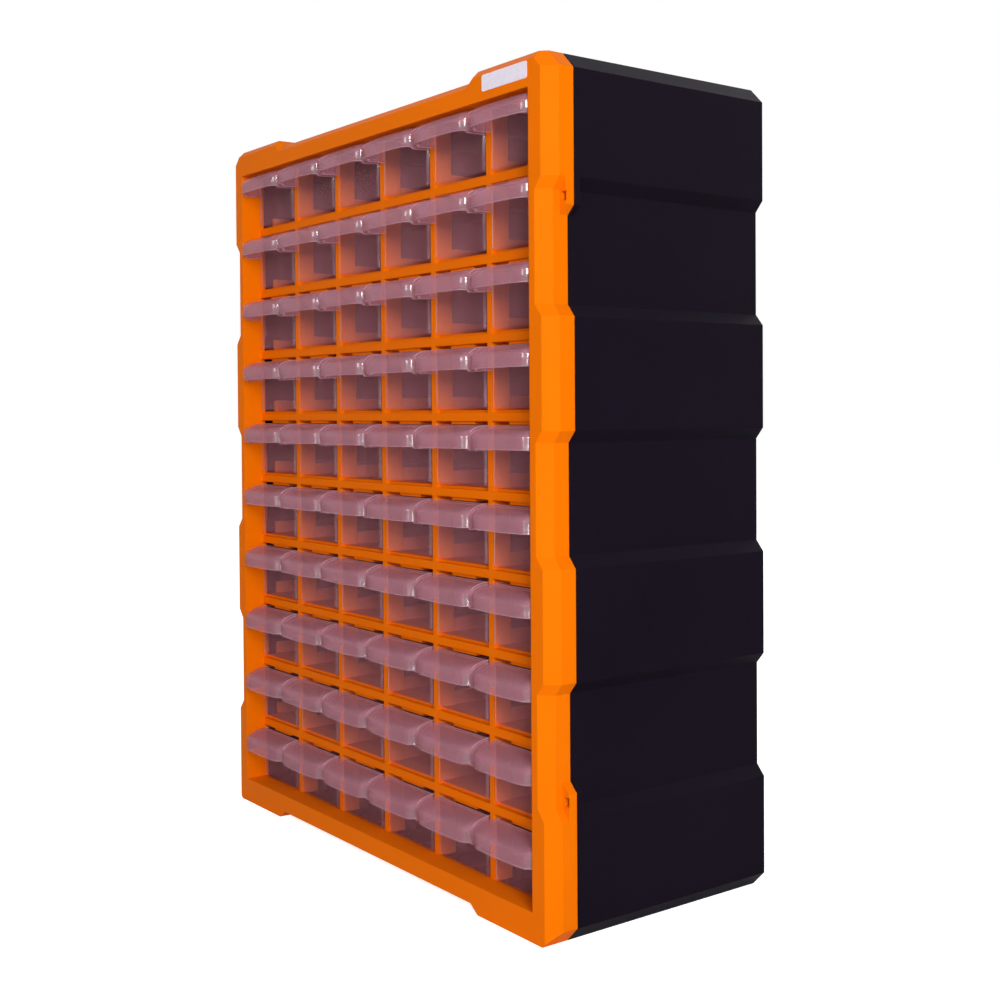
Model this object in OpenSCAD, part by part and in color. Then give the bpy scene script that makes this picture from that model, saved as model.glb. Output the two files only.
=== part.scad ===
// Parts bin cabinet: a moulded front frame with a drawer grid and shelves, a rear casing,
// a blank name plate and sixty small sliding drawers in ten rows of six.
// Origin: centre of the footprint, on the plane that the feet stand on.
// +Z up, drawers open towards -Y. Millimetres.

/* [Cabinet body] */

// overall width across the wide side panels
cab_w = 380; // [300:1:450]
// overall height from the feet to the top bumps
cab_h = 478; // [400:1:550]
// depth of the body from the frame's front plane to the back
body_d = 162; // [130:1:220]
// how far the narrow side panels are set in from the wide ones
side_step = 5.5; // [2:0.1:10]
// spacing of the steps up the sides
step_pitch = 67.4; // [50:0.1:80]
// height of each slanted step between side panels
step_rise = 6.5; // [2:0.1:12]
// 45 degree cut on the four outer corners
corner_cut = 9; // [2:0.5:15]
// height of the feet and of the matching top bumps
foot_h = 5; // [2:0.5:10]
// length of a foot from the cabinet's side
foot_w = 69; // [45:1:100]
// length of the slope at the inner end of a foot
foot_slope = 7; // [2:0.5:12]

/* [Front frame] */

// depth of the frame's sides
frame_d = 17; // [12:0.5:25]
// skin thickness of the frame
frame_wall = 2.2; // [1.5:0.1:4]
// 45 degree chamfer on the frame's front side edges
side_cham = 7; // [2:0.5:10]
// 45 degree chamfer on the frame's top front edge
top_cham = 4; // [1:0.5:8]
// setback of the drawer grid behind the front plane
grid_set = 14.2; // [8:0.1:20]
// front to back depth of the full-height grid bars
bar_d = 12.6; // [6:0.1:20]
// width of the border beside the front opening
side_border = 17.6; // [12:0.1:25]
// height of the border below the front opening
low_border = 16.5; // [12:0.5:25]
// height of the border above the front opening
top_border = 18.5; // [14:0.5:30]
// how far the border laps over the first and last row of cells
end_lap = 2; // [0:0.1:4]
// thickness of the shelves
shelf_t = 1.8; // [1.7:0.1:3]
// setback of a shelf's front edge behind its rail's front
shelf_set = 3; // [1:0.1:8]
// height of the low guide walls between drawers, above the shelf
guide_h = 9.7; // [4:0.1:20]
// thickness of the low guide walls
guide_t = 2.2; // [1:0.1:4.4]
// width of the stop tab under the rail over each drawer
stop_w = 24; // [10:1:40]
// how far a stop tab hangs below its rail
stop_drop = 1.8; // [0.5:0.1:3]
// setback of a stop tab's front behind the rail's front
stop_set = 1.2; // [0.5:0.1:3]
// how far the ears reach over the first and last narrow side panels
ear_h = 11.5; // [9:0.1:16]

/* [Drawer grid] */

// number of drawer columns
cols = 6; // [1:1:6]
// number of drawer rows
rows = 10; // [1:1:10]
// width of a grid divider
divider_w = 4.4; // [2:0.1:8]
// height of a grid rail
rail_h = 5; // [3:0.1:8]

/* [Drawer] */

// gap between a drawer's side and its divider
drawer_gap = 0.7; // [0.3:0.1:2]
// height of a drawer's underside above its rail's top
drawer_lift = 2; // [1:0.1:4]
// gap between a drawer's rim and the rail above it
head_gap = 2.2; // [2:0.1:4]
// gap between a drawer's underside and its shelf
run_gap = 0.4; // [0.3:0.1:0.9]
// space between a drawer's tray and the casing's back
back_gap = 8.3; // [4:0.1:30]
// wall thickness of a drawer
drawer_t = 1.2; // [0.8:0.1:2]
// setback of a drawer's front face behind the front plane
face_set = 13.2; // [10:0.1:20]
// 45 degree relief along the tray's lower edges
tray_cut = 1.5; // [0.5:0.1:4]
// how far the finger pull stands in front of the frame's front plane
pull_out = 4; // [0:0.1:10]
// depth of the pull below the drawer's rim
pull_h = 13.2; // [8:0.1:20]
// wall thickness of the pull
pull_t = 1.4; // [0.8:0.1:2]
// width of the catch on the drawer's rear wall
catch_w = 16; // [8:1:24]

/* [Rear casing] */

// wall thickness of the casing
case_t = 2.3; // [1.5:0.1:4]
// depth of the shadow gap between frame and casing
gap_d = 0.6; // [0.2:0.1:1.5]
// how far the shadow gap is set in from the outside
gap_in = 1; // [0.5:0.1:2]
// depth of the casing's front rim band
rim_d = 3.7; // [2:0.1:8]
// width of one of the ribs on the casing's floor that carry the bottom drawers
rib_w = 2; // [1:0.1:6]
// distance of each wall-hanging keyhole from the middle
key_x = 120; // [60:1:160]
// distance of the keyholes below the top
key_drop = 75; // [40:1:200]
// radius of a keyhole's round entry
key_r = 4.5; // [3:0.1:8]
// radius of a keyhole's slot
key_slot_r = 2.2; // [1.5:0.1:4]
// length of a keyhole's slot above its entry
key_slot = 9; // [5:0.5:15]

/* [Name plate] */

// width of the blank name plate
plate_w = 41.4; // [20:0.1:60]
// height of the blank name plate
plate_h = 9.2; // [5:0.1:12]
// thickness of the blank name plate
plate_t = 0.3; // [0.1:0.1:1]
// distance of the plate's middle from the cabinet's side
plate_side = 38.9; // [30:0.1:60]
// distance of the plate's middle below the top
plate_drop = 9; // [8.7:0.1:10]

/* [Show] */

// sub-part to show on its own

/* [Hidden] */

half_w = cab_w / 2;
mid_z = cab_h / 2;
front_y = -(body_d - pull_out) / 2;
far = 600;
eps = 1;
corner_lead = 0.5;
cut_k = 2 - sqrt(2);
steps = 6;
foot_x = half_w - foot_w;
open_hw = half_w - side_border;
open_z = low_border;
open_top = cab_h - top_border;
col_pitch = (2 * open_hw + divider_w) / cols;
row_pitch = (open_top - open_z + 2 * end_lap + rail_h) / rows;
lip_t = 2;
plug_t = 1.75;
plug_gap = 0.3;
plug_d = 5;
plug_root = 5;
case_y = frame_d + gap_d;
back_y = body_d - case_t;
shelf_gap = 0.6;
shelf_end = back_y - shelf_gap;
shelf_step = drawer_lift - run_gap;
end_step = (steps - 1) / 2 * step_pitch;
ear_y = 11.5;
ear_in = 1.5;
ear_slant = 5.2;
ear_top_z = mid_z + end_step - ear_h;
ear_low_z = mid_z - end_step + ear_h;
win_h = 5;
win_wall = 1.7;
win_x = side_step - win_wall;
win_d = 0.9;
win_lift = 2;
slot_w = 2.6;
hook_d = 3;
hook_gap = 0.3;
catch_h = 1.7;
catch_t = 1.6;
drawer_w = col_pitch - divider_w - 2 * drawer_gap;
drawer_h = row_pitch - rail_h - drawer_lift - head_gap;
drawer_d = body_d - case_t - face_set - back_gap;
face_y = front_y + face_set;
rib_in = 8.2;
rib_x = drawer_w / 2 - rib_in;
pull_d = face_set + pull_out;
pull_z = drawer_h - pull_h;
leaf_drop = 1.6;
leaf_root = 1;
leaf_flat = 6;
plate_x = half_w - plate_side;
plate_z = cab_h - plate_drop;
key_z = cab_h - key_drop;
grouped = [[1, 10], [2, 10], [3, 10], [4, 10]];

// The pull's side profile: distance behind its front, height below the drawer's rim.
pull_curve = [[0, 6.2], [1.5, 4.5], [3.6, 3.2], [6.2, 2.1], [9.6, 1.1], [14, 0.4], [19, 0]];
// The pull's plan: each front facet's start, in from the drawer's side and behind the pull's front.
pull_plan = [[18.2, 0], [7.2, 1.2], [2, 3.2], [0, 5.5]];

function is_grouped(c, r) = len([for (g = grouped) if (g[0] == c && g[1] == r) 1]) > 0;
function drawer_name(c, r) = str("drawer_row", r, "_col", c);
function col_x(c) = (c - (cols + 1) / 2) * col_pitch;
function shelf_z(r) = (r == rows) ? open_z : open_z - end_lap + (rows - r) * row_pitch;
function drawer_z(r) = shelf_z(r) + ((r == rows) ? 0 : drawer_lift);

singles = [for (r = [1 : rows]) for (c = [1 : cols]) if (!is_grouped(c, r)) [c, r]];

// Height and half width of the stepped side, from just above the low corner to the top one.
function side_line(in) = [
  for (i = [0 : steps - 1]) let (z = mid_z - end_step + i * step_pitch, wide = (i % 2 == 0))
    each [
      [half_w - in - (wide ? 0 : side_step), z - step_rise / 2],
      [half_w - in - (wide ? side_step : 0), z + step_rise / 2]
    ]
];

// Right half of the cabinet's outline, set in by the given distance.
function half_outline(in) = let (cut = corner_cut - cut_k * in, w = half_w - in, top = cab_h - in)
  concat(
    [[foot_x - foot_slope + in, foot_h + in], [foot_x + in, in], [w - cut, in], [w, in + cut]],
    side_line(in),
    [[w, top - cut], [w - cut, top], [foot_x + in, top], [foot_x - foot_slope + in, top - foot_h]]
  );

function flip(pts) = [for (i = [len(pts) - 1 : -1 : 0]) [-pts[i][0], pts[i][1]]];

module outline(in = 0) {
  polygon(concat(half_outline(in), flip(half_outline(in))));
}

// A slab cut to the outline between two distances behind the front plane.
module outline_slab(in, y0, y1) {
  translate([0, front_y + y1, 0]) rotate([90, 0, 0]) linear_extrude(y1 - y0) outline(in);
}

// Everything behind the slanted front chamfer of one side. Its top corner is cut a little lower
// than the outline's, and its lower end runs straight down.
module side_chamfer(cut) {
  k = 1 / sqrt(2);
  x = half_w - cut;
  corner_z = cab_h - corner_cut - corner_lead;
  translate([0, front_y, 0]) rotate([90, 0, -45])
    linear_extrude(2 * far, center = true)
      polygon(concat(
        [[-far, -far], [x * k, -far]],
        [for (p = side_line(cut)) [p[0] * k, p[1]]],
        [[x * k, corner_z], [(x - far) * k, corner_z + far], [-far, corner_z + far]]
      ));
}

// Everything behind the slanted chamfer of the top edge.
module top_chamfer(cut) {
  k = 1 / sqrt(2);
  x = foot_x + corner_lead;
  pts = [[far, cab_h], [x, cab_h], [x - foot_slope, cab_h - foot_h]];
  translate([0, front_y, 0]) rotate([135, 0, 0])
    linear_extrude(2 * far, center = true)
      polygon(concat(
        [for (p = concat(pts, flip(pts))) [p[0], (p[1] - cut) * k]],
        [[-far, -far], [far, -far]]
      ));
}

module chamfered(in, y0, y1) {
  slant = in * (sqrt(2) - 1) + ((in > 0) ? in : 0);
  intersection() {
    outline_slab(in, y0, y1);
    side_chamfer(side_cham + slant);
    mirror([1, 0, 0]) side_chamfer(side_cham + slant);
    top_chamfer(top_cham + slant);
  }
}

// A box given by its lowest and highest corners, measured from the frame's front plane.
module block(lo, hi) {
  translate([lo[0], front_y + lo[1], lo[2]]) cube([hi[0] - lo[0], hi[1] - lo[1], hi[2] - lo[2]]);
}

module both_sides() {
  children();
  mirror([1, 0, 0]) children();
}

module front_opening(grow, y0, y1) {
  block([-open_hw - grow, y0, open_z - grow], [open_hw + grow, y1, open_top + grow]);
}

// Height of a point at a distance above the middle, or below it where up is -1.
function end_z(up, z) = mid_z + up * z;

// Ears on the sides of the wide end panels that carry the snaps over the first narrow panels.
module ear(y0, y1) {
  in_x = half_w - side_step - ear_in;
  root = end_step + step_rise / 2;
  tip = end_step - ear_h;
  translate([0, front_y + y1, 0]) rotate([90, 0, 0]) linear_extrude(y1 - y0)
    for (up = [-1, 1])
      polygon([
        [in_x, end_z(up, root)], [half_w, end_z(up, root)], [half_w, end_z(up, tip)],
        [half_w - side_step, end_z(up, tip - ear_slant)], [in_x, end_z(up, tip - ear_slant)]
      ]);
}

// Window in the front face of an ear, with a slot behind it for the casing's hook.
module snap_window(z) {
  x = half_w - win_x;
  block([x, ear_y - eps, z], [half_w + eps, ear_y + win_d, z + win_h]);
  block([x, ear_y - eps, z], [x + slot_w, frame_d + eps, z + win_h]);
}

module snap_windows() {
  snap_window(ear_top_z + win_lift);
  snap_window(ear_low_z - win_lift - win_h);
}

// Hook of the casing that reaches forward into a snap window.
module hook(z) {
  x = half_w - win_x;
  block([x + hook_gap, frame_d - hook_d, z + hook_gap],
        [x + slot_w - hook_gap, case_y + eps, z + win_h - hook_gap]);
}

module hooks() {
  hook(ear_top_z + win_lift);
  hook(ear_low_z - win_lift - win_h);
}

module border() {
  difference() {
    union() {
      chamfered(0, 0, frame_d);
      both_sides() ear(ear_y, frame_d);
      outline_slab(case_t + plug_gap, frame_d - eps, frame_d + plug_d);
    }
    difference() {
      chamfered(frame_wall, frame_wall, frame_d - plug_root);
      front_opening(lip_t, 0, frame_d);
    }
    difference() {
      outline_slab(case_t + plug_gap + plug_t, frame_d - plug_root - eps, frame_d + plug_d + eps);
      front_opening(lip_t, 0, frame_d);
    }
    front_opening(0, -eps, frame_d + plug_d + eps);
    both_sides() snap_windows();
  }
}

module grid_bars() {
  y0 = grid_set;
  y1 = grid_set + bar_d;
  for (r = [1 : rows - 1])
    block([-open_hw - eps, y0, shelf_z(r) - rail_h], [open_hw + eps, y1, shelf_z(r)]);
  for (c = [1 : cols - 1])
    translate([(c - cols / 2) * col_pitch, 0, 0])
      block([-divider_w / 2, y0, open_z - eps], [divider_w / 2, y1, open_top + eps]);
}

// One shelf with its low guide walls and the stop tabs beneath its rail. The shelf steps up
// behind the rail's front.
module shelf(r) {
  z = shelf_z(r);
  y0 = grid_set + bar_d - eps;
  edge = open_hw + divider_w / 2;
  top = z + shelf_step;
  block([-open_hw - eps, grid_set + shelf_set, top - shelf_t], [open_hw + eps, y0 + eps, top]);
  block([-edge, y0, top - shelf_t], [edge, shelf_end, top]);
  for (c = [0 : cols])
    translate([(c - cols / 2) * col_pitch, 0, 0])
      block([-guide_t / 2, y0, top - shelf_t], [guide_t / 2, shelf_end, z + guide_h]);
  for (c = [1 : cols])
    translate([col_x(c), 0, 0])
      block([-stop_w / 2, grid_set + stop_set, z - rail_h - stop_drop],
            [stop_w / 2, grid_set + bar_d, z - rail_h + eps]);
}

// Stop tabs of the top row, carried by the border itself.
module top_stops() {
  for (c = [1 : cols])
    translate([col_x(c), 0, 0])
      block([-stop_w / 2, frame_d - eps, open_top], [stop_w / 2, grid_set + bar_d, open_top + lip_t]);
}

module front_frame() {
  color([0.85, 0.35, 0.02]) {
    border();
    grid_bars();
    top_stops();
    for (r = [1 : rows - 1]) shelf(r);
  }
}

module keyhole(x) {
  translate([x, front_y + body_d + eps, key_z]) rotate([90, 0, 0]) linear_extrude(case_t + 2 * eps) {
    circle(r = key_r, $fn = 48);
    translate([-key_slot_r, 0]) square([2 * key_slot_r, key_slot]);
    translate([0, key_slot]) circle(r = key_slot_r, $fn = 32);
  }
}

module rear_casing() {
  floor_z = foot_h + case_t;
  color([0.07, 0.06, 0.08]) {
    difference() {
      union() {
        outline_slab(0, case_y, body_d);
        outline_slab(gap_in, frame_d, case_y + eps);
        both_sides() ear(case_y, case_y + rim_d);
      }
      outline_slab(case_t, frame_d - eps, back_y);
      for (s = [-1, 1]) keyhole(s * key_x);
    }
    both_sides() hooks();
    y0 = frame_d + plug_d + eps;
    for (c = [1 : cols]) for (s = [-1, 1])
      translate([col_x(c) + s * rib_x, 0, 0])
        block([-rib_w / 2, y0, floor_z - eps], [rib_w / 2, back_y + eps, open_z]);
    for (c = [0 : cols])
      translate([(c - cols / 2) * col_pitch, 0, 0])
        block([-guide_t / 2, y0 + bar_d, floor_z - eps], [guide_t / 2, back_y + eps, open_z + guide_h]);
  }
}

module name_plate() {
  color([0.92, 0.92, 0.9])
    block([plate_x - plate_w / 2, -plate_t, plate_z - plate_h / 2],
          [plate_x + plate_w / 2, 0, plate_z + plate_h / 2]);
}

// Cross-section of a drawer's tray, seen from the front.
module tray_section(in) {
  w = drawer_w / 2 - in;
  c = tray_cut - cut_k * in;
  polygon([[-w + c, in], [w - c, in], [w, in + c], [w, drawer_h + in], [-w, drawer_h + in], [-w, in + c]]);
}

module tray() {
  difference() {
    translate([0, drawer_d, 0]) rotate([90, 0, 0]) linear_extrude(drawer_d) tray_section(0);
    translate([0, drawer_d - drawer_t, 0]) rotate([90, 0, 0])
      linear_extrude(drawer_d - 2 * drawer_t) tray_section(drawer_t);
  }
  translate([-catch_w / 2, drawer_d - catch_t, drawer_h - eps]) cube([catch_w, catch_t, catch_h + eps]);
}

// Solid behind one flat facet of the pull's front, at the given plan point and angle.
module pull_facet(x, y, a, in) {
  translate([x, y, 0]) rotate([0, 0, a]) rotate([90, 0, 90])
    linear_extrude(4 * drawer_w, center = true)
      polygon(concat(
        [[in, -drawer_h], [in, drawer_h - pull_curve[0][1] - in]],
        [for (p = pull_curve) [p[0] + in, drawer_h - p[1] - in]],
        [[4 * drawer_h, drawer_h - in], [4 * drawer_h, -drawer_h]]
      ));
}

module pull_solid(in) {
  intersection() {
    pull_facet(0, -pull_d, 0, in);
    side_facets(in);
    mirror([1, 0, 0]) side_facets(in);
  }
}

module side_facets(in) {
  intersection_for(i = [0 : len(pull_plan) - 2]) {
    a = pull_plan[i];
    b = pull_plan[i + 1];
    pull_facet(drawer_w / 2 - a[0], a[1] - pull_d, atan2(b[1] - a[1], a[0] - b[0]), in);
  }
}

// Hooded finger pull: a skirt that is open underneath, closed by a plate at each end.
module pull() {
  w = drawer_w / 2;
  difference() {
    intersection() {
      pull_solid(0);
      union() {
        translate([-w, -pull_d - eps, pull_z]) cube([drawer_w, pull_d + eps + drawer_t / 2, drawer_h]);
        for (s = [-1, 1])
          translate([s * (w - pull_t / 2) - pull_t / 2, 0, 0]) rotate([90, 0, 90]) linear_extrude(pull_t)
            polygon([
              [-pull_d - eps, pull_z - leaf_drop], [-pull_d + leaf_flat, pull_z - leaf_drop],
              [drawer_t / 2, pull_z - leaf_root],
              [drawer_t / 2, drawer_h + eps], [-pull_d - eps, drawer_h + eps]
            ]);
      }
    }
    intersection() {
      pull_solid(pull_t);
      translate([-w + pull_t, -pull_d, 0]) cube([drawer_w - 2 * pull_t, pull_d, drawer_h]);
    }
  }
}

module drawer(c, r) {
  color([0.62, 0.48, 0.56, 0.6])
    translate([col_x(c), face_y, drawer_z(r)]) {
      tray();
      pull();
    }
}

front_frame();
rear_casing();
name_plate();
for (s = singles)
  drawer(s[0], s[1]);
for (g = grouped) drawer(g[0], g[1]);  // drawers_row10_col1_to_col4
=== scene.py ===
import math

import bmesh
import bpy
from mathutils import Matrix, Vector


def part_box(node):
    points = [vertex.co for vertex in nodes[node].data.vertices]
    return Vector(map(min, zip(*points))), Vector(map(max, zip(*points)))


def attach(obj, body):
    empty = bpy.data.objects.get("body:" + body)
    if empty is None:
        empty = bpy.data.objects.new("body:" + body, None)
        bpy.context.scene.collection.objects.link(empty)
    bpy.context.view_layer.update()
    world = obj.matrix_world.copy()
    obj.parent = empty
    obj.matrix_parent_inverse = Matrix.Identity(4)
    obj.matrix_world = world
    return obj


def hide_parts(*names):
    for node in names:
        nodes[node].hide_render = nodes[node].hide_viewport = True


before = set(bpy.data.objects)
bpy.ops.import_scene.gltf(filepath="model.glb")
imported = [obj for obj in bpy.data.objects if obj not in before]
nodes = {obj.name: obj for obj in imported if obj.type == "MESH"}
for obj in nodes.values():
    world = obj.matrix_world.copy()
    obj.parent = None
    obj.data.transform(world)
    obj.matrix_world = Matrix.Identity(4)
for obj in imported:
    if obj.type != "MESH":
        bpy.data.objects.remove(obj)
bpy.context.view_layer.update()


# ---------------------------------------------------------------- rear casing
# One deep black polypropylene shell, injection moulded in a spark-eroded mould that leaves it satin.
# Its sides step in and out, and its front rim carries the hooks that the orange frame snaps on to.
# Its tone and its sheen drift a little from place to place.
DRIFT_SCALE = 9.0
DRIFT_SPAN = (0.3, 0.7)
SHEEN_DRIFT = 0.05
CASING_BLACK = (0.0066, 0.0038, 0.0094)


def surface_pattern(tree, scale, detail):
    """A soft random pattern that stays with the piece, as a value between 0 and 1."""
    place = tree.nodes.new("ShaderNodeTexCoord")
    noise = tree.nodes.new("ShaderNodeTexNoise")
    noise.inputs["Scale"].default_value = scale
    noise.inputs["Detail"].default_value = detail
    tree.links.new(place.outputs["Object"], noise.inputs["Vector"])
    return noise.outputs["Fac"]


def two_tones(tree, pattern, span, dark, pale):
    """A colour that goes from dark to pale while the pattern crosses the span."""
    tones = tree.nodes.new("ShaderNodeValToRGB")
    first, last = tones.color_ramp.elements
    first.position, last.position = span
    first.color = (*dark, 1)
    last.color = (*pale, 1)
    tree.links.new(pattern, tones.inputs["Fac"])
    return tones.outputs["Color"]


def stretched(tree, value, taken, given):
    """A value taken from one range and given out in another."""
    scale = tree.nodes.new("ShaderNodeMapRange")
    scale.inputs["From Min"].default_value, scale.inputs["From Max"].default_value = taken
    scale.inputs["To Min"].default_value, scale.inputs["To Max"].default_value = given
    tree.links.new(value, scale.inputs["Value"])
    return scale.outputs["Result"]


def relief(tree, pattern, strength, depth):
    """Shallow bumps that follow the pattern, with their depth in metres."""
    bump = tree.nodes.new("ShaderNodeBump")
    bump.inputs["Strength"].default_value = strength
    bump.inputs["Distance"].default_value = depth
    tree.links.new(pattern, bump.inputs["Height"])
    return bump


def moulded_plastic(name, colour, rough, gloss_level, grain_scale, grain_depth, tint, edge):
    """Injection-moulded polypropylene: fine eroded grain, slow colour drift, softened edges."""
    material = bpy.data.materials.new(name)
    material.use_nodes = True
    tree = material.node_tree
    shader = tree.nodes["Principled BSDF"]
    dark = [c * (1 - tint) for c in colour]
    pale = [min(1.0, c * (1 + tint)) for c in colour]
    drift = surface_pattern(tree, DRIFT_SCALE, detail=3.0)
    tone = two_tones(tree, drift, DRIFT_SPAN, dark, pale)
    sheen = stretched(tree, drift, DRIFT_SPAN, (rough - SHEEN_DRIFT, rough + SHEEN_DRIFT))
    eroded = surface_pattern(tree, grain_scale, detail=2.0)
    grain = relief(tree, eroded, strength=0.35, depth=grain_depth)
    soft_edge = tree.nodes.new("ShaderNodeBevel")
    soft_edge.samples = 4
    soft_edge.inputs["Radius"].default_value = edge
    tree.links.new(soft_edge.outputs["Normal"], grain.inputs["Normal"])
    tree.links.new(tone, shader.inputs["Base Color"])
    tree.links.new(sheen, shader.inputs["Roughness"])
    tree.links.new(grain.outputs["Normal"], shader.inputs["Normal"])
    shader.inputs["Specular IOR Level"].default_value = gloss_level
    return material


def dress(node_name, material):
    """Give a moulded part its finish in place of the plain one."""
    mesh = nodes[node_name].data
    mesh.materials.clear()
    mesh.materials.append(material)


black_polypropylene = moulded_plastic(
    "black_polypropylene", CASING_BLACK, rough=0.45, gloss_level=0.045,
    grain_scale=900.0, grain_depth=0.0002, tint=0.15, edge=0.0009
)
dress("rear_casing", black_polypropylene)


# ---------------------------------------------------------------- front frame
# One orange polypropylene moulding: the deep border, the drawer grid and the shelves behind it.
# Smoother than the casing, with a low gloss, and with edges rounded by less than a millimetre.
FRAME_ORANGE = (0.90, 0.178, 0.0004)

orange_polypropylene = moulded_plastic(
    "orange_polypropylene", FRAME_ORANGE, rough=0.40, gloss_level=0.025,
    grain_scale=700.0, grain_depth=0.0001, tint=0.035, edge=0.0007
)
dress("front_frame", orange_polypropylene)


# ---------------------------------------------------------------- name plate
# A small self-adhesive strip of coated paper on the top border, left blank, with rounded corners
# and a slightly fibrous sheen.
LABEL_CORNER = 0.0014
LABEL_ARC_STEPS = 6
LABEL_FIBRE_SPAN = (0.35, 0.65)
LABEL_GREY = (0.80, 0.73, 0.84)
LABEL_WHITE = (0.86, 0.79, 0.90)


def coated_label():
    """Coated paper with a faint fibre in its tone and its surface."""
    material = bpy.data.materials.new("coated_label")
    material.use_nodes = True
    tree = material.node_tree
    shader = tree.nodes["Principled BSDF"]
    fibre = surface_pattern(tree, scale=420.0, detail=4.0)
    tone = two_tones(tree, fibre, LABEL_FIBRE_SPAN, LABEL_GREY, LABEL_WHITE)
    bump = relief(tree, fibre, strength=0.2, depth=0.0001)
    tree.links.new(tone, shader.inputs["Base Color"])
    tree.links.new(bump.outputs["Normal"], shader.inputs["Normal"])
    shader.inputs["Roughness"].default_value = 0.45
    return material


def rounded_plate(name, low, high, radius):
    """An upright plate with rounded corners, filling the box from low to high."""
    shape = bmesh.new()
    corners = [(high.x, high.z), (low.x, high.z), (low.x, low.z), (high.x, low.z)]
    outline = []
    for quarter, (x, z) in enumerate(corners):
        cx = x - radius if quarter in (0, 3) else x + radius
        cz = z - radius if quarter in (0, 1) else z + radius
        for k in range(LABEL_ARC_STEPS + 1):
            angle = math.radians(90 * quarter + 90 * k / LABEL_ARC_STEPS)
            outline.append((cx + radius * math.cos(angle), cz + radius * math.sin(angle)))
    face = shape.faces.new([shape.verts.new((x, low.y, z)) for x, z in outline])
    made = bmesh.ops.extrude_face_region(shape, geom=[face])
    moved = [v for v in made["geom"] if isinstance(v, bmesh.types.BMVert)]
    bmesh.ops.translate(shape, verts=moved, vec=(0, high.y - low.y, 0))
    bmesh.ops.recalc_face_normals(shape, faces=shape.faces)
    mesh = bpy.data.meshes.new(name)
    shape.to_mesh(mesh)
    shape.free()
    return mesh


label_mesh = rounded_plate("blank_label", *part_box("name_plate"), LABEL_CORNER)
label_mesh.materials.append(coated_label())
label = bpy.data.objects.new("blank_label", label_mesh)
bpy.context.scene.collection.objects.link(label)
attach(label, "cabinet")
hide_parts("name_plate")


# ---------------------------------------------------------------- drawers
# Sixty alike thin-walled mouldings of frosted clear polypropylene, each sliding in a cell of the
# frame: a tray with a catch on its rear wall, and a bowed hood to pull it by, closed by a plate at
# each end. Rims and edges are paler than the walls: painted highlight, partly the milkier look of the
# plastic seen edge-on. The upright corners are glossier, the side end of each tray's front right
# corner is dark with painted shade, and the haze thickening behind the front is painted light.
ROWS = 10
COLUMNS = 6
SHARED_COLUMNS = 4
SHARED_NODE = "drawers_row10_col1_to_col4"
first_low, first_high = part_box("drawer_row1_col1")
second_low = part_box("drawer_row1_col2")[0]
COLUMN_PITCH = second_low.x - first_low.x

PULL_REACH = 0.0172
CATCH_RISE = 0.0017
CATCH_ROOT = 0.0005
CATCH_DEPTH = 0.0016
CATCH_HALF_WIDTH = 0.008
TRAY_WIDTH = first_high.x - first_low.x
TRAY_LENGTH = first_high.y - first_low.y - PULL_REACH
TRAY_HEIGHT = first_high.z - first_low.z - CATCH_RISE
TRAY_WALL = 0.0012
CORNER_RADIUS = 0.0024
CORNER_STEPS = 6
FOOT_ROUND = 0.0014
FOOT_MIDDLE = 0.0004
RIM_ROUND = 0.0002

PULL_WALL = 0.0014
PULL_HEIGHT = 0.0132
PULL_SKIRT = TRAY_HEIGHT - PULL_HEIGHT
PULL_ROOT = TRAY_WALL / 2
END_DROP = 0.0014
POLISHED_FROM = 0.86
PULL_EDGE_ROUND = 0.0004
SHARP_FOLD = 0.75
SMALLEST_EDGE = 0.00001
CREASE = math.radians(36)

# The hood's front is bowed over its whole width, and its last fifth bends back more sharply.
BOW_DEPTH = 0.0017
BOW_POWER = 2.6
BEND_DEPTH = 0.0036
BEND_FROM = 0.80
BEND_SHARE = 0.20

# Stations from the middle of the hood to its end, closer together where it bends.
HOOD_STATIONS = [0.0, 0.2, 0.4, 0.56, 0.69, 0.79, 0.85, 0.89, 0.925, 0.955, 0.98, 1.0]

# The hood's crown: the share of its reach that is left in front of a point, and the point's drop.
HOOD_CROWN = [(0.86, 0.0), (0.72, 0.0003), (0.5, 0.0009), (0.32, 0.0018)]
HOOD_CROWN += [(0.185, 0.0028), (0.09, 0.0038), (0.03, 0.0047), (0.0, 0.0060)]

# Places of the five finishes in the drawer's list of materials.
WALL, HOOD, EDGE, CORNER, PAINTED_SHADE = range(5)

FROST_SPAN = (0.3, 0.7)
RIPPLE_DEPTH = 0.00008
CLEAR_ZONE = (0.012, 0.018)


def frosted_polypropylene(name, dark, pale, haze, rough, refraction, gloss_level, ripple=0.2, far_haze=None):
    """Slightly milky, mauve see-through polypropylene with a soft sheen.

    With far_haze, the haze grows to that value beyond the clear zone behind the drawer's front."""
    material = bpy.data.materials.new(name)
    material.use_nodes = True
    tree = material.node_tree
    shader = tree.nodes["Principled BSDF"]
    cloud = surface_pattern(tree, scale=55.0, detail=3.0)
    waves = surface_pattern(tree, scale=160.0, detail=1.0)
    milk = two_tones(tree, cloud, FROST_SPAN, dark, pale)
    skin = relief(tree, waves, strength=ripple, depth=RIPPLE_DEPTH)
    tree.links.new(milk, shader.inputs["Base Color"])
    tree.links.new(skin.outputs["Normal"], shader.inputs["Normal"])
    shader.inputs["Roughness"].default_value = rough
    shader.inputs["IOR"].default_value = refraction
    shader.inputs["Specular IOR Level"].default_value = gloss_level
    shader.inputs["Alpha"].default_value = haze
    # the haze that grows behind the clear zone is painted light: it lightens the depths of the cells
    if far_haze is not None:
        place = tree.nodes.new("ShaderNodeTexCoord")
        along = tree.nodes.new("ShaderNodeSeparateXYZ")
        tree.links.new(place.outputs["Object"], along.inputs["Vector"])
        growing = stretched(tree, along.outputs["Y"], CLEAR_ZONE, (haze, far_haze))
        tree.links.new(growing, shader.inputs["Alpha"])
    return material


def add_loop(shape, points):
    return [shape.verts.new(p) for p in points]


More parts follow.
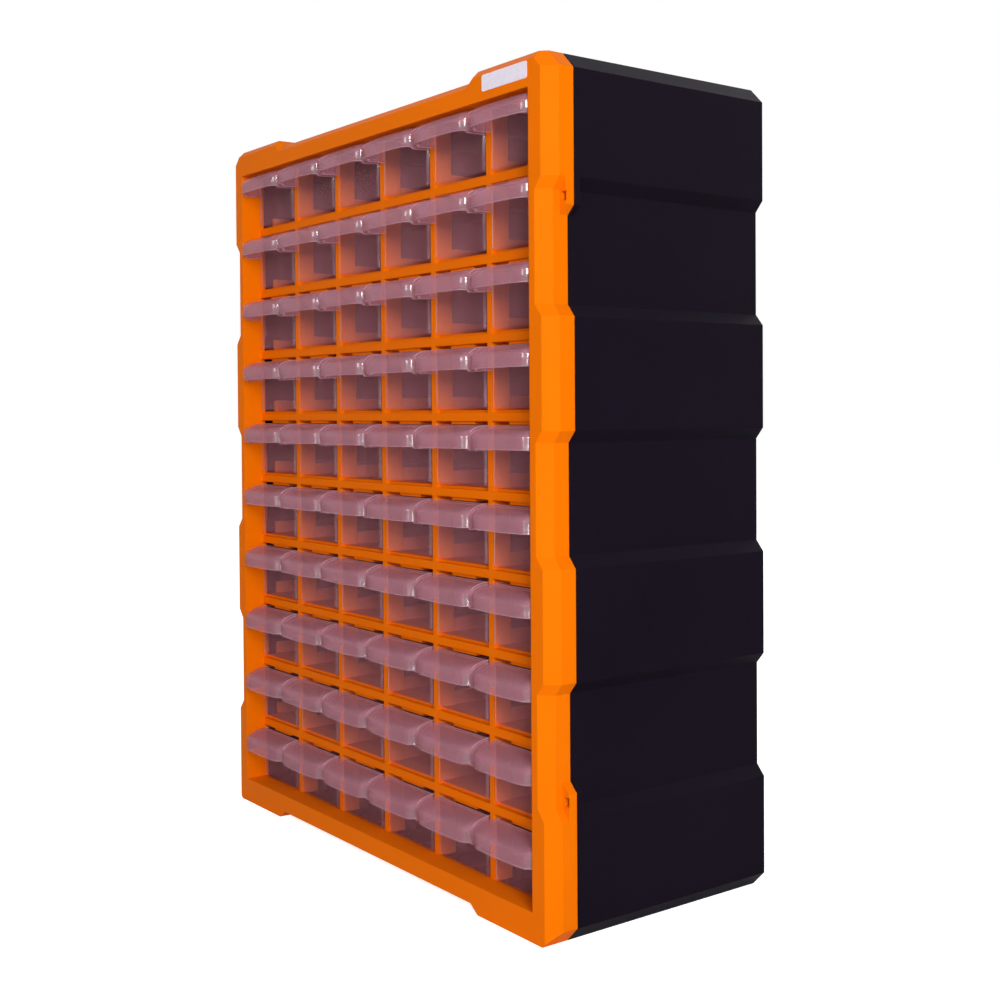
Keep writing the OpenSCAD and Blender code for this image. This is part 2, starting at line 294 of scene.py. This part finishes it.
def bridge(shape, first, second, closed=False):
    """Quads between two rows of points; returns them in order."""
    count = len(first)
    pairs = [(i, (i + 1) % count) for i in range(count if closed else count - 1)]
    return [shape.faces.new((first[i], first[j], second[j], second[i])) for i, j in pairs]


def rounded_plan(inset, radius):
    """The tray's plan with rounded corners, starting at the front right corner."""
    half = TRAY_WIDTH / 2 - inset
    front, back = inset, TRAY_LENGTH - inset
    corners = [(half, front, 0), (half, back, 1), (-half, back, 2), (-half, front, 3)]
    points = []
    for x, y, quarter in corners:
        cx = x - math.copysign(radius, x)
        cy = y + radius if quarter in (0, 3) else y - radius
        for k in range(CORNER_STEPS + 1):
            angle = math.radians(-90 + 90 * quarter + 90 * k / CORNER_STEPS)
            points.append((cx + radius * math.cos(angle), cy + radius * math.sin(angle)))
    return points


def corner_finishes():
    """Finishes of the outer wall's strips at the front right and the front left corner."""
    left = 3 * (CORNER_STEPS + 1)
    finishes = dict.fromkeys(range(1, 4), CORNER)
    # the last strips round the front right corner, edge-on to the camera, take a dark finish of painted
    # shade
    finishes.update(dict.fromkeys(range(4, 6), PAINTED_SHADE))
    # strips near the front of the front left corner take the pale finish of painted highlight
    finishes.update(dict.fromkeys(range(left + 3, left + 6), EDGE))
    return finishes


def add_tray(shape):
    """The closed tray: up the outside, over the rim and down the inside to the floor."""
    inner = CORNER_RADIUS - TRAY_WALL
    floor_rise, floor_inset, floor_corner = 0.0008, 0.0006, inner - 0.0004
    outer_wall = (FOOT_ROUND, 0.0, CORNER_RADIUS, WALL)
    # height, inset from the outside, corner radius, and the finish from there to the next level
    levels = [
        (0.0, FOOT_ROUND, CORNER_RADIUS / 2, WALL),
        (FOOT_MIDDLE, FOOT_MIDDLE, CORNER_RADIUS - FOOT_MIDDLE, WALL),
        outer_wall,
        # the rim's rounds take the pale finish, a painted highlight along the rim
        (TRAY_HEIGHT - RIM_ROUND, 0.0, CORNER_RADIUS, EDGE),
        (TRAY_HEIGHT, RIM_ROUND, CORNER_RADIUS - RIM_ROUND, EDGE),
        (TRAY_HEIGHT, TRAY_WALL - RIM_ROUND, inner + RIM_ROUND, EDGE),
        (TRAY_HEIGHT - RIM_ROUND, TRAY_WALL, inner, WALL),
        (TRAY_WALL + floor_rise, TRAY_WALL, inner, WALL),
        (TRAY_WALL, TRAY_WALL + floor_inset, floor_corner, WALL),
    ]
    rings = []
    for z, inset, radius, _ in levels:
        rings.append(add_loop(shape, [(x, y, z) for x, y in rounded_plan(inset, radius)]))
    for ring, above, level in zip(rings, rings[1:], levels):
        finishes = corner_finishes() if level is outer_wall else {}
        for i, face in enumerate(bridge(shape, ring, above, closed=True)):
            face.material_index = finishes.get(i, level[3])
    shape.faces.new(list(reversed(rings[0])))
    shape.faces.new(rings[-1])


def pull_setback(x):
    """How far the hood's front falls back from its middle, at a distance x from the centre line."""
    side = abs(x) / (TRAY_WIDTH / 2)
    bend = max(0.0, (side - BEND_FROM) / BEND_SHARE)
    return BOW_DEPTH * side**BOW_POWER + BEND_DEPTH * bend**BOW_POWER


def hood_profile(x, inset):
    """Points (y, z) along the hood's side section, from inside the tray's front wall to its skirt."""
    reach = PULL_REACH - pull_setback(x)
    points = [(PULL_ROOT, TRAY_HEIGHT - inset)]
    points += [(-reach * (1 - left) + inset, TRAY_HEIGHT - drop - inset) for left, drop in HOOD_CROWN]
    points.append((-reach + inset, PULL_SKIRT))
    return points


def end_plate_edge(front_y):
    """Points (y, z) along the lower edge of an end plate, from its rounded front to the tray."""
    low = PULL_SKIRT - END_DROP
    nose_middle, nose_end = 0.0006, 0.0016
    return [
        (front_y, PULL_SKIRT - END_DROP * 0.35),
        (front_y + nose_middle, low + END_DROP * 0.15),
        (front_y + nose_end, low),
        (PULL_ROOT, low + END_DROP * 0.4),
    ]


def add_pull(shape):
    """The hood and its end plates as one outer and one inner skin, joined round their edges."""
    half = TRAY_WIDTH / 2
    narrow = (half - PULL_WALL) / half
    stations = [-half * p for p in reversed(HOOD_STATIONS[1:])] + [half * p for p in HOOD_STATIONS]
    outer = []
    for x in stations:
        outer.append(add_loop(shape, [(x, y, z) for y, z in hood_profile(x, 0)]))
    inner = []
    for x in stations:
        inner.append(add_loop(shape, [(x * narrow, y, z) for y, z in hood_profile(x, PULL_WALL)]))
    for k in range(len(stations) - 1):
        outside = bridge(shape, outer[k + 1], outer[k])
        inside = bridge(shape, inner[k], inner[k + 1])
        shape.faces.new((outer[k][-1], outer[k + 1][-1], inner[k + 1][-1], inner[k][-1]))
        shape.faces.new((outer[k + 1][0], outer[k][0], inner[k][0], inner[k + 1][0]))
        # the bent ends of the hood's front skirt are polished
        if min(abs(stations[k]), abs(stations[k + 1])) > POLISHED_FROM * half:
            outside[-1].material_index = CORNER
            inside[-1].material_index = CORNER
    for end in (0, -1):
        x = stations[end]
        low = end_plate_edge(outer[end][-1].co.y)
        out_low = add_loop(shape, [(x, y, z) for y, z in low])
        in_low = add_loop(shape, [(x * narrow, y, z) for y, z in low])
        shape.faces.new(outer[end] + out_low)
        shape.faces.new(inner[end] + in_low)
        outer_edge = [outer[end][-1], *out_low, outer[end][0]]
        inner_edge = [inner[end][-1], *in_low, inner[end][0]]
        bridge(shape, outer_edge, inner_edge)


def round_pull_edges(shape):
    """A small round on the pull's sharp edges, pale as painted highlight; the slivers it leaves are
    dissolved.
    """
    sharp = [e for e in shape.edges if len(e.link_faces) == 2 and e.calc_face_angle(0) > SHARP_FOLD]
    bmesh.ops.bevel(
        shape, geom=sharp, offset=PULL_EDGE_ROUND, segments=2, profile=0.5, affect="EDGES",
        clamp_overlap=True, material=EDGE
    )
    bmesh.ops.dissolve_degenerate(shape, dist=SMALLEST_EDGE, edges=shape.edges)


def add_box(shape, low, high):
    middle = (Vector(low) + Vector(high)) / 2
    size = Vector(high) - Vector(low)
    place = Matrix.Translation(middle) @ Matrix.Diagonal((*size, 1))
    bmesh.ops.create_cube(shape, size=1.0, matrix=place)


def drawer_mesh(finishes):
    """One drawer: the pull, the catch on the rear wall and the tray, in its own coordinates."""
    shape = bmesh.new()
    add_pull(shape)
    for face in shape.faces:
        face.material_index = max(face.material_index, HOOD)
    bmesh.ops.recalc_face_normals(shape, faces=shape.faces)
    round_pull_edges(shape)
    catch_low = (-CATCH_HALF_WIDTH, TRAY_LENGTH - CATCH_DEPTH, TRAY_HEIGHT - CATCH_ROOT)
    add_box(shape, catch_low, (CATCH_HALF_WIDTH, TRAY_LENGTH, TRAY_HEIGHT + CATCH_RISE))
    bmesh.ops.recalc_face_normals(shape, faces=shape.faces)
    add_tray(shape)
    mesh = bpy.data.meshes.new("drawer")
    shape.to_mesh(mesh)
    shape.free()
    for finish in finishes:
        mesh.materials.append(finish)
    mesh.polygons.foreach_set("use_smooth", [True] * len(mesh.polygons))
    mesh.set_sharp_from_angle(angle=CREASE)
    return mesh


# the tray's haze thickens from 0.075 to 0.16 behind the clear zone: painted light lightening the cells'
# depths
tray_wall = frosted_polypropylene(
    "frosted_polypropylene", dark=(0.94, 0.37, 0.44), pale=(0.98, 0.42, 0.50),
    haze=0.075, rough=0.22, refraction=1.45, gloss_level=0.06, far_haze=0.16
)
hood_wall = frosted_polypropylene(
    "frosted_polypropylene_hood", dark=(0.60, 0.25, 0.32), pale=(0.66, 0.285, 0.365),
    haze=0.36, rough=0.22, refraction=1.5, gloss_level=0.2
)
# pale and milkier: painted highlight on rims, rounds and the front left corner, partly the plastic's thicker
# look edge-on
painted_highlight_edge = frosted_polypropylene(
    "frosted_polypropylene_painted_highlight_edge", dark=(0.80, 0.57, 0.67), pale=(0.88, 0.65, 0.75),
    haze=0.55, rough=0.2, refraction=1.6, gloss_level=0.6
)
polished_corner = frosted_polypropylene(
    "frosted_polypropylene_corner", dark=(0.46, 0.21, 0.27), pale=(0.52, 0.25, 0.32),
    haze=0.34, rough=0.11, refraction=1.85, gloss_level=1.0, ripple=0.02
)
# dark mauve for the side end of each tray's front right corner: painted shade, not the plastic's tint
painted_shade_corner = frosted_polypropylene(
    "frosted_polypropylene_painted_shade", dark=(0.10, 0.045, 0.10), pale=(0.14, 0.06, 0.13),
    haze=0.55, rough=0.3, refraction=1.5, gloss_level=0.1
)
drawer_shape = drawer_mesh([tray_wall, hood_wall, painted_highlight_edge, polished_corner, painted_shade_corner])

for row in range(1, ROWS + 1):
    for column in range(1, COLUMNS + 1):
        shared = row == ROWS and column <= SHARED_COLUMNS
        node = SHARED_NODE if shared else f"drawer_row{row}_col{column}"
        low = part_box(node)[0]
        across = (column - 1) * COLUMN_PITCH if shared else 0.0
        piece = bpy.data.objects.new(f"frosted_drawer_row{row}_col{column}", drawer_shape)
        piece.location = (low.x + TRAY_WIDTH / 2 + across, low.y + PULL_REACH, low.z)
        bpy.context.scene.collection.objects.link(piece)
        bpy.context.view_layer.update()
        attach(piece, node)
        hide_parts(node)


# ---------------------------------------------------------------- floor and light
# A plain pale floor that keeps the cabinet's shadow and looks nearly white to the camera, under
# four soft studio boxes. The room is white where it is seen or mirrored, and lights only weakly.
FLOOR_SIZE = 12.0
FLOOR_GREY = 0.86
FLOOR_GLOW = 0.82
ROOM_LIGHT = 0.18


def pale_floor():
    """Matt pale paint, with a glow that only the camera sees."""
    material = bpy.data.materials.new("pale_floor")
    material.use_nodes = True
    tree = material.node_tree
    shader = tree.nodes["Principled BSDF"]
    shader.inputs["Base Color"].default_value = (FLOOR_GREY, FLOOR_GREY, FLOOR_GREY, 1)
    shader.inputs["Roughness"].default_value = 0.9
    shader.inputs["Specular IOR Level"].default_value = 0.1
    glow = tree.nodes.new("ShaderNodeEmission")
    glow.inputs["Color"].default_value = (1, 1, 1, 1)
    ray = tree.nodes.new("ShaderNodeLightPath")
    level = tree.nodes.new("ShaderNodeMath")
    level.operation = "MULTIPLY"
    level.inputs[1].default_value = FLOOR_GLOW
    both = tree.nodes.new("ShaderNodeAddShader")
    out = tree.nodes["Material Output"]
    tree.links.new(ray.outputs["Is Camera Ray"], level.inputs[0])
    tree.links.new(level.outputs["Value"], glow.inputs["Strength"])
    tree.links.new(shader.outputs["BSDF"], both.inputs[0])
    tree.links.new(glow.outputs["Emission"], both.inputs[1])
    tree.links.new(both.outputs["Shader"], out.inputs["Surface"])
    return material


def studio_room():
    """The room as a background: full white to the camera and in reflections, dim as a light."""
    world = bpy.data.worlds.new("studio")
    world.use_nodes = True
    sky = world.node_tree
    room = sky.nodes["Background"]
    room.inputs["Color"].default_value = (1, 1, 1, 1)
    room.inputs["Strength"].default_value = ROOM_LIGHT
    white = sky.nodes.new("ShaderNodeBackground")
    white.inputs["Color"].default_value = (1, 1, 1, 1)
    white.inputs["Strength"].default_value = 1.0
    ray = sky.nodes.new("ShaderNodeLightPath")
    looking = sky.nodes.new("ShaderNodeMath")
    looking.operation = "MAXIMUM"
    choose = sky.nodes.new("ShaderNodeMixShader")
    sky.links.new(ray.outputs["Is Camera Ray"], looking.inputs[0])
    sky.links.new(ray.outputs["Is Glossy Ray"], looking.inputs[1])
    sky.links.new(looking.outputs["Value"], choose.inputs["Fac"])
    sky.links.new(room.outputs["Background"], choose.inputs[1])
    sky.links.new(white.outputs["Background"], choose.inputs[2])
    sky.links.new(choose.outputs["Shader"], sky.nodes["World Output"].inputs["Surface"])
    return world


def softbox(name, place, aim, size, watts):
    """A rectangular soft light that stands at a place and faces an aim."""
    light = bpy.data.lights.new(name, "AREA")
    light.shape = "RECTANGLE"
    light.size, light.size_y = size
    light.energy = watts
    lamp = bpy.data.objects.new(name, light)
    lamp.location = place
    lamp.rotation_euler = (Vector(aim) - Vector(place)).to_track_quat("-Z", "Y").to_euler()
    bpy.context.scene.collection.objects.link(lamp)


bpy.ops.mesh.primitive_plane_add(size=FLOOR_SIZE, location=(0, 0, 0))
floor = bpy.context.object
floor.name = "floor"
floor.data.materials.append(pale_floor())
bpy.context.scene.world = studio_room()
softbox("side_box", place=(1.55, -0.72, 0.70), aim=(0, 0, 0.28), size=(0.5, 0.55), watts=19)
softbox("front_box", place=(0.75, -1.70, 0.70), aim=(0, 0, 0.25), size=(0.7, 0.5), watts=6)
softbox("top_box", place=(0.3, -0.5, 1.9), aim=(0, 0, 0.2), size=(1.4, 1.4), watts=3)
softbox("back_box", place=(-0.9, 1.8, 1.0), aim=(0, 0, 0.25), size=(1.4, 1.2), watts=16)


# ---------------------------------------------------------------- camera
# A little above the middle of the cabinet and well round to its right, about 0.9 m away. The lens
# is given in pixels of a square picture, and the camera's turn, tip and lean in radians.
EYE = Vector((0.75407, -0.52485, 0.28648))
TURN, TIP, LEAN = 0.9199, -0.0168, -0.0057
PICTURE_PX = 1000.0
FOCAL_PX = 1369.57
CENTRE_X_PX, CENTRE_Y_PX = 525.48, 434.15
SENSOR_MM = 36.0
NEAREST_SEEN = 0.05

forward = Vector((-math.sin(TURN) * math.cos(TIP), math.cos(TURN) * math.cos(TIP), math.sin(TIP)))
level_right = Vector((math.cos(TURN), math.sin(TURN), 0))
level_up = level_right.cross(forward)
right = math.cos(LEAN) * level_right + math.sin(LEAN) * level_up
up = -math.sin(LEAN) * level_right + math.cos(LEAN) * level_up
lens = bpy.data.cameras.new("camera")
lens.sensor_width = SENSOR_MM
lens.lens = FOCAL_PX * SENSOR_MM / PICTURE_PX
lens.shift_x = (PICTURE_PX / 2 - CENTRE_X_PX) / PICTURE_PX
lens.shift_y = (CENTRE_Y_PX - PICTURE_PX / 2) / PICTURE_PX
lens.clip_start = NEAREST_SEEN
camera = bpy.data.objects.new("camera", lens)
camera.matrix_world = Matrix.Translation(EYE) @ Matrix((right, up, -forward)).transposed().to_4x4()
bpy.context.scene.collection.objects.link(camera)
bpy.context.scene.camera = camera

bpy.context.scene.view_settings.view_transform = "Standard"
